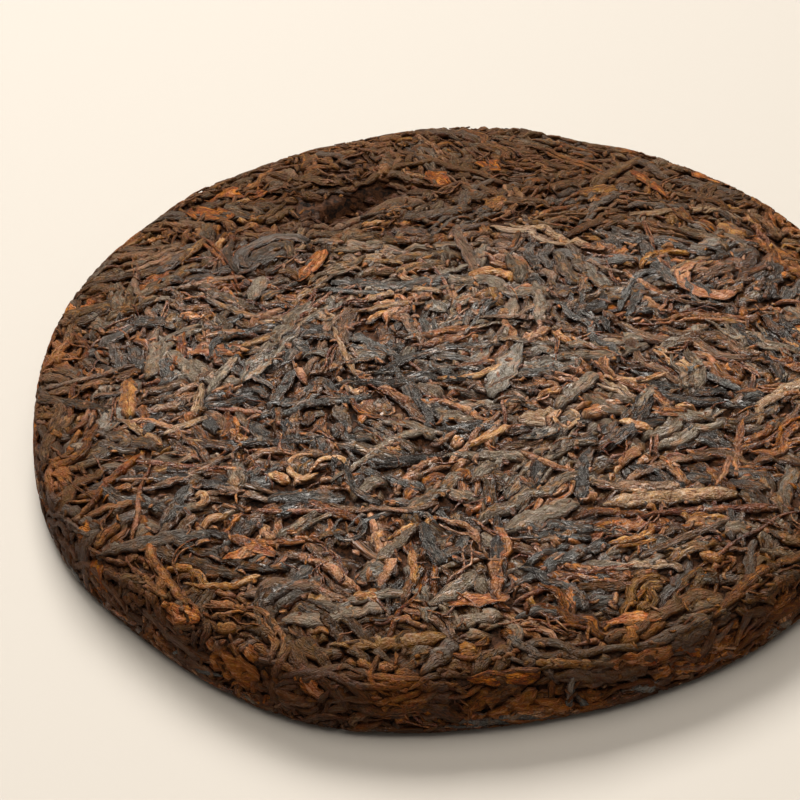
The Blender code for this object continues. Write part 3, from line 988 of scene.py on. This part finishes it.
def leaf_material(name, kind, shine):
    """A kind of leaf in one finish, from its four colours, its wear and how much of the stain it takes."""
    dark, usual, light, worn_edge = [colour(code) for code in kind["colours"]]
    material = bpy.data.materials.new(name)
    material.use_nodes = True
    tree = material.node_tree
    shader = tree.nodes["Principled BSDF"]
    look = {}
    for label in ("tone", "crest", "shade_depth", "wrinkled", "flank", "painted_sheen", "rusty"):
        look[label] = add(tree, "Attribute", out="Fac", attribute_name=label)
    flank = look["flank"]
    grain = add(tree, "UVMap", uv_map="grain")
    warp = add(tree, "TexNoise", {"Vector": grain, "Scale": 0.5, "Detail": 2.0}, out="Color")
    bent = add(tree, "VectorMath", {0: warp, 1: WARP_MM, 2: grain}, operation="MULTIPLY_ADD")

    # Furrows run along the leaf and fade here and there. Each strip between them has a shade of its own.
    drawn = add(tree, "Mapping", {"Vector": bent, "Scale": (FURROWS_PER_MM, 1 / FURROW_LENGTH_MM, 1.0)})
    cells = {"Vector": drawn, "Scale": 1.0}
    furrow = add(tree, "TexVoronoi", cells, feature="DISTANCE_TO_EDGE", voronoi_dimensions="2D")
    strand = add(tree, "TexVoronoi", cells, out="Color", voronoi_dimensions="2D")
    strand = add(tree, "SeparateColor", {"Color": strand})
    gap = add(tree, "MapRange", {"Value": furrow, "From Max": 0.17, "To Min": 1.0, "To Max": 0.0},
              interpolation_type="SMOOTHSTEP")
    fading = add(tree, "TexNoise", {"Vector": grain, "Scale": 0.7, "Detail": 1.0})
    fading = add(tree, "MapRange", {"Value": fading, "From Min": 0.38, "From Max": 0.58})
    fading = add(tree, "Math", {0: fading, 1: look["wrinkled"]}, operation="MULTIPLY")
    gap = add(tree, "Math", {0: gap, 1: fading}, operation="MULTIPLY")

    # Between them the skin is pebbled, gritty along the leaf, and blotched over a few millimetres.
    pebble = add(tree, "Mapping", {"Vector": bent, "Scale": PEBBLES_PER_MM})
    pebble = add(tree, "TexVoronoi", {"Vector": pebble, "Scale": 1.0}, voronoi_dimensions="2D")
    streaked = add(tree, "Mapping", {"Vector": bent, "Scale": (1.0, 0.3, 1.0)})
    grit = add(tree, "TexNoise", {"Vector": streaked, "Scale": 2.2, "Detail": 6.0, "Roughness": 0.7})
    coarse = add(tree, "TexNoise", {"Vector": streaked, "Scale": 1.3, "Detail": 4.0, "Distortion": 0.6})
    blotch = add(tree, "TexNoise", {"Vector": grain, "Scale": 0.38, "Detail": 3.0})

    # Together these say how pale the leaf is at a point, from its dark through its usual colour.
    # Through the crest they also paint shade into the folds and towards the edges.
    body = -0.26
    for source, share in (
        (look["tone"], 0.40), (strand, 0.30), (grit, 0.90), (look["crest"], 0.35), (pebble, -0.40)
    ):
        body = add(tree, "Math", {0: source, 1: share, 2: body}, operation="MULTIPLY_ADD")
    surface = add(tree, "ValToRGB", {"Fac": body})
    stops = surface.node.color_ramp.elements
    stops[0].position = 0.10
    stops[0].color = dark
    stops[1].position = 1.0
    stops[1].color = light
    stops.new(0.5).color = usual

    # Over that go worn edges, painted rim shade, painted sheen, rust, painted shade of sunk leaf and of
    # furrows.
    worn = add(tree, "Math", {0: strand, 1: 0.25, 2: blotch}, operation="MULTIPLY_ADD")
    worn = add(tree, "MapRange", {
        "Value": worn, "From Min": 0.62, "From Max": 0.80, "To Max": kind["worn"]})
    # Painted shade on the rim, the side and the far part of the top, in one brown for the top and another
    # down the side.
    rim_shade_share = add(tree, "Math", {0: flank, 1: kind.get("rim_shade_share", RIM_SHADE_TAKEN)}, operation="MULTIPLY")
    down = add(tree, "MapRange", {"Value": flank, "From Min": 0.8, "From Max": 1.0})
    rim_shade_colour = {"Factor": down, "A": colour(SHADED_TOP_BROWN), "B": colour(SHADED_SIDE_BROWN)}
    rim_shade_colour = add(tree, "Mix", rim_shade_colour, out="Result", data_type="RGBA")
    # Painted sheen: a pale grey over the paler parts of the middle of the face.
    sheen_amount = add(tree, "Math", {0: body, 1: 0.12}, operation="MULTIPLY", use_clamp=True)
    sheen_amount = add(tree, "Math", {0: look["painted_sheen"], 1: sheen_amount}, operation="MULTIPLY")
    rusty = add(tree, "Math", {0: blotch, 1: 0.9, 2: look["rusty"]}, operation="MULTIPLY_ADD")
    rusty = add(tree, "MapRange", {"Value": rusty, "From Min": 0.92, "From Max": 1.25, "To Max": 0.65})
    rust = {"Factor": body, "A": colour(RUST_DARK), "B": colour(RUST_LIGHT)}
    rust = add(tree, "Mix", rust, out="Result", data_type="RGBA")
    # Painted shade: sunk leaf and leaf edges are mixed towards a dark brown.
    sunk = {"Value": look["shade_depth"], "From Min": 0.12, "From Max": 0.55, "To Max": 0.85}
    sunk = add(tree, "MapRange", sunk)
    # Painted shade: the furrows are darkened towards the leaf's darkest colour.
    furrow_shade = add(tree, "Math", {0: gap, 1: 0.95}, operation="MULTIPLY")
    for amount, over in (
        (worn, worn_edge), (rim_shade_share, rim_shade_colour), (sheen_amount, colour(PAINTED_SHEEN_GREY)), (rusty, rust),
        (sunk, colour(PAINTED_SHADE_BROWN)), (furrow_shade, dark),
    ):
        layer = {"Factor": amount, "A": surface, "B": over}
        surface = add(tree, "Mix", layer, out="Result", data_type="RGBA")

    # Uneven curing turns the hue a little from place to place, and dark leaf is richer than its dry crests.
    cured = add(tree, "TexNoise", {"Vector": grain, "Scale": 0.55, "Detail": 3.0})
    cured = add(tree, "Math", {0: cured, 1: 0.06, 2: 0.476}, operation="MULTIPLY_ADD")
    richer = {"Value": body, "From Min": 0.25, "From Max": 0.9, "To Min": 1.24, "To Max": 0.80}
    richer = add(tree, "MapRange", richer)
    # The painted shade on the rim, side and far top is also made more saturated.
    inward = add(tree, "Math", {0: 1.2, 1: flank}, operation="SUBTRACT")
    browner = add(tree, "Math", {0: flank, 1: inward}, operation="MULTIPLY")
    richer = add(tree, "Math", {0: browner, 1: 0.15, 2: richer}, operation="MULTIPLY_ADD")
    surface = add(tree, "HueSaturation", {"Hue": cured, "Saturation": richer, "Color": surface})
    tree.links.new(surface, shader.inputs["Base Color"])
    rough = add(tree, "Math", {0: flank, 1: 0.45, 2: kind["roughness"] - 0.19}, operation="MULTIPLY_ADD")
    tree.links.new(rough, shader.inputs["Roughness"])
    shader.inputs["Specular IOR Level"].default_value = shine
    relief = coarse
    for source, share in ((grit, 1.0), (gap, -1.0), (pebble, -0.5)):
        relief = add(tree, "Math", {0: source, 1: share, 2: relief}, operation="MULTIPLY_ADD")
    wrinkles = add(tree, "Bump", {"Height": relief, "Strength": 1.0, "Distance": WRINKLE_DEPTH})
    tree.links.new(wrinkles, shader.inputs["Normal"])
    return material


# Only leaves that show in enough cells of the bed are made, and those underneath have fewer points round.
VISIBLE_CELLS = 24
VISIBLE_CRUMB_CELLS = 6
FEWER_UNDER = {5: 5, 6: 5, 7: 6, 8: 6, 9: 7, 11: 8}
for name, kind in leaf_kinds.items():
    batches = []
    needed = VISIBLE_CRUMB_CELLS if name == CRUMB_NAME else VISIBLE_CELLS
    for bed in beds.values():
        seen = np.bincount(bed["owner"][bed["owner"] >= 0], minlength=len(bed["leaves"]))
        shown = [leaf for leaf, cells in zip(bed["leaves"], seen) if leaf["kind"] == name and cells >= needed]
        around = kind["around"] if bed["side"] == "top" else FEWER_UNDER[kind["around"]]
        for stations in STATION_COUNTS:
            group = [leaf for leaf in shown if len(leaf["middle"]) == stations]
            if not group:
                continue
            u, v, proud, looks = leaf_points(bed, group, around, kind.get("blade", False))
            spans = [(leaf["width"] * (1.2 + 2.2 * leaf["seed"][3]), leaf["span"]) for leaf in group]
            batches.append({
                "points": on_skin(bed["side"], u, v, proud),
                "looks": looks,
                "spans": np.array(spans),
                "shifts": np.array([leaf["seed"][:2] for leaf in group]) * GRAIN_SHIFT,
            })
    piece = joined_mesh(name, batches)
    for finish, shine in FINISHES:
        piece.data.materials.append(leaf_material(finish + name, kind, shine))
    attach(piece, "root")


# ------------------------------------------------------------------------
# The core
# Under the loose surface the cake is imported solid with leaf, dust and broken bits, all one dark mass.
# It is a ball of fine cells drawn out to a little under the heap, with the small bits as its relief.
# ------------------------------------------------------------------------
CORE_ROUND = 360
CORE_RINGS = 250
# From pole to pole the ball covers this much of the skin, and this much of that is the top's.
FULL_SPREAD = 209.0
TOP_SHARE = 113.5
# The core lies this far under the heap, follows some of its shape, and keeps within these depths.
CORE_SINK = 1.15
CORE_FOLLOWS = 0.4
MOST_FOLLOWED = 0.5
CORE_DEEPEST = 3.4
CORE_HIGHEST = 0.6
BIT_SIZE = 0.22

ball = bmesh.new()
bmesh.ops.create_uvsphere(ball, u_segments=CORE_ROUND, v_segments=CORE_RINGS, radius=1.0)
points = np.array([vert.co for vert in ball.verts])
polar = np.arccos(np.clip(points[:, 2], -1, 1)) / math.pi
heading = np.arctan2(points[:, 1], points[:, 0])
spread_top = polar * FULL_SPREAD
spread_under = (1 - polar) * FULL_SPREAD
places = np.zeros_like(points)
bits = rng.normal(0, BIT_SIZE, len(points))
for side, spread, turn, mine in (
    ("top", spread_top, 1, spread_top <= TOP_SHARE),
    ("under", spread_under, -1, spread_top > TOP_SHARE),
):
    bed = beds[side]
    u = spread * np.cos(heading * turn)
    v = spread * np.sin(heading * turn)
    here_level = bed["level"][cells_at(bed, u, v)]
    here_height = bed["height"][cells_at(bed, u, v)]
    followed = CORE_FOLLOWS * np.minimum(here_height - here_level, MOST_FOLLOWED)
    packed = here_level - CORE_SINK + followed + bits
    proud = np.clip(pressed(bed, u, v, packed), -CORE_DEEPEST, -CORE_HIGHEST)
    proud = proud - CORE_FALLS * torn(bed, u, v)
    places[mine] = on_skin(side, u, v, proud)[mine]
for vert, place in zip(ball.verts, places):
    vert.co = Vector(place) * MM
bmesh.ops.recalc_face_normals(ball, faces=ball.faces)
for face in ball.faces:
    face.smooth = True
core_mesh = bpy.data.meshes.new("leaf_core")
ball.to_mesh(core_mesh)
ball.free()
core = bpy.data.objects.new("leaf_core", core_mesh)
bpy.context.scene.collection.objects.link(core)

# Packed leaf dust: dull, near black in the gaps, with flecks of broken brown leaf about a millimetre across.
FLECKS_PER_M = 800.0
DUST_PER_M = 1500.0
core_material = bpy.data.materials.new("packed_leaf_dust")
core_material.use_nodes = True
tree = core_material.node_tree
shader = tree.nodes["Principled BSDF"]
where = add(tree, "TexCoord", out="Object")
flecks = add(tree, "TexVoronoi", {"Vector": where, "Scale": FLECKS_PER_M}, out="Color")
flecks = add(tree, "SeparateColor", {"Color": flecks})
dust = add(tree, "TexNoise", {"Vector": where, "Scale": DUST_PER_M, "Detail": 4.0})
mixed = add(tree, "Math", {0: flecks, 1: 0.5, 2: dust}, operation="MULTIPLY_ADD")
packed_colour = add(tree, "ValToRGB", {"Fac": mixed})
stops = packed_colour.node.color_ramp.elements
stops[0].position = 0.45
stops[0].color = colour("#0e0805")
stops[1].position = 1.0
stops[1].color = colour("#4a2d1a")
tree.links.new(packed_colour, shader.inputs["Base Color"])
shader.inputs["Roughness"].default_value = 0.8
shader.inputs["Specular IOR Level"].default_value = 0.15
grainy = add(tree, "Bump", {"Height": mixed, "Strength": 1.0, "Distance": 0.0004})
tree.links.new(grainy, shader.inputs["Normal"])
core.data.materials.append(core_material)
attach(core, "root")
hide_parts("tea_cake")


# ------------------------------------------------------------------------
# Floor, light and camera
# The cake lies on plain pale board under soft lamps: a strong one behind it that rakes over the leaf, and
# two faint ones above and in front. These stand in for a studio and aren't part of the cake.
# ------------------------------------------------------------------------
FLOOR_REACH = 3.0
# Each lamp's place, what it shines at, its width and depth in metres, its watts and its tint.
LAMPS = (
    ("back_light", (-0.4, 1.85, 1.78), (0, 0, 0), 1.4, 1.0, 120.0, "#fffaf3"),
    ("top_light", (-0.05, -0.1, 0.9), (-0.05, -0.1, 0), 0.8, 0.8, 6.5, "#fff8ee"),
    ("fill_light", (0.8, -1.2, 1.8), (0, 0, 0), 1.6, 1.6, 3.0, "#fff8ee"),
)
floor_mesh = bmesh.new()
bmesh.ops.create_grid(floor_mesh, x_segments=1, y_segments=1, size=FLOOR_REACH)
floor_data = bpy.data.meshes.new("floor")
floor_mesh.to_mesh(floor_data)
floor_mesh.free()
floor = bpy.data.objects.new("floor", floor_data)
bpy.context.scene.collection.objects.link(floor)

# Uncoated board: pale, even and nearly matt, so that the cake's shadow lies soft on it.
floor_material = bpy.data.materials.new("pale_floor")
floor_material.use_nodes = True
floor_shader = floor_material.node_tree.nodes["Principled BSDF"]
floor_shader.inputs["Base Color"].default_value = colour("#aba69f")
floor_shader.inputs["Roughness"].default_value = 0.7
floor.data.materials.append(floor_material)

world = bpy.data.worlds.new("studio")
world.use_nodes = True
world.node_tree.nodes["Background"].inputs["Color"].default_value = colour("#fbf3ea")
world.node_tree.nodes["Background"].inputs["Strength"].default_value = 0.21
bpy.context.scene.world = world
bpy.context.scene.view_settings.view_transform = "Standard"

for name, place, aim, width, depth, watts, tint in LAMPS:
    lamp = bpy.data.lights.new(name, "AREA")
    lamp.shape = "RECTANGLE"
    lamp.size = width
    lamp.size_y = depth
    lamp.energy = watts
    lamp.color = colour(tint)[:3]
    stand = bpy.data.objects.new(name, lamp)
    stand.location = place
    stand.rotation_euler = (Vector(aim) - Vector(place)).to_track_quat("-Z", "Y").to_euler()
    bpy.context.scene.collection.objects.link(stand)

# The camera looks down at 40 degrees, leaning a little to one side.
LOOK_DOWN = math.radians(39.93)
LEAN = math.radians(-2.98)
DISTANCE = 627.0 * MM
AIM = Vector((-14.9, 7.8, 0.0)) * MM
SENSOR_WIDTH = 36
LENS = 121.365

back = Vector((0, -math.cos(LOOK_DOWN), math.sin(LOOK_DOWN)))
right = Vector((1, 0, 0))
up = back.cross(right)
leaned_right = right * math.cos(LEAN) + up * math.sin(LEAN)
leaned_up = up * math.cos(LEAN) - right * math.sin(LEAN)
camera_data = bpy.data.cameras.new("camera")
camera_data.lens = LENS
camera_data.sensor_width = SENSOR_WIDTH
camera = bpy.data.objects.new("camera", camera_data)
turn = Matrix((leaned_right, leaned_up, back)).transposed()
camera.matrix_world = Matrix.Translation(AIM + back * DISTANCE) @ turn.to_4x4()
bpy.context.scene.collection.objects.link(camera)
bpy.context.scene.camera = camera
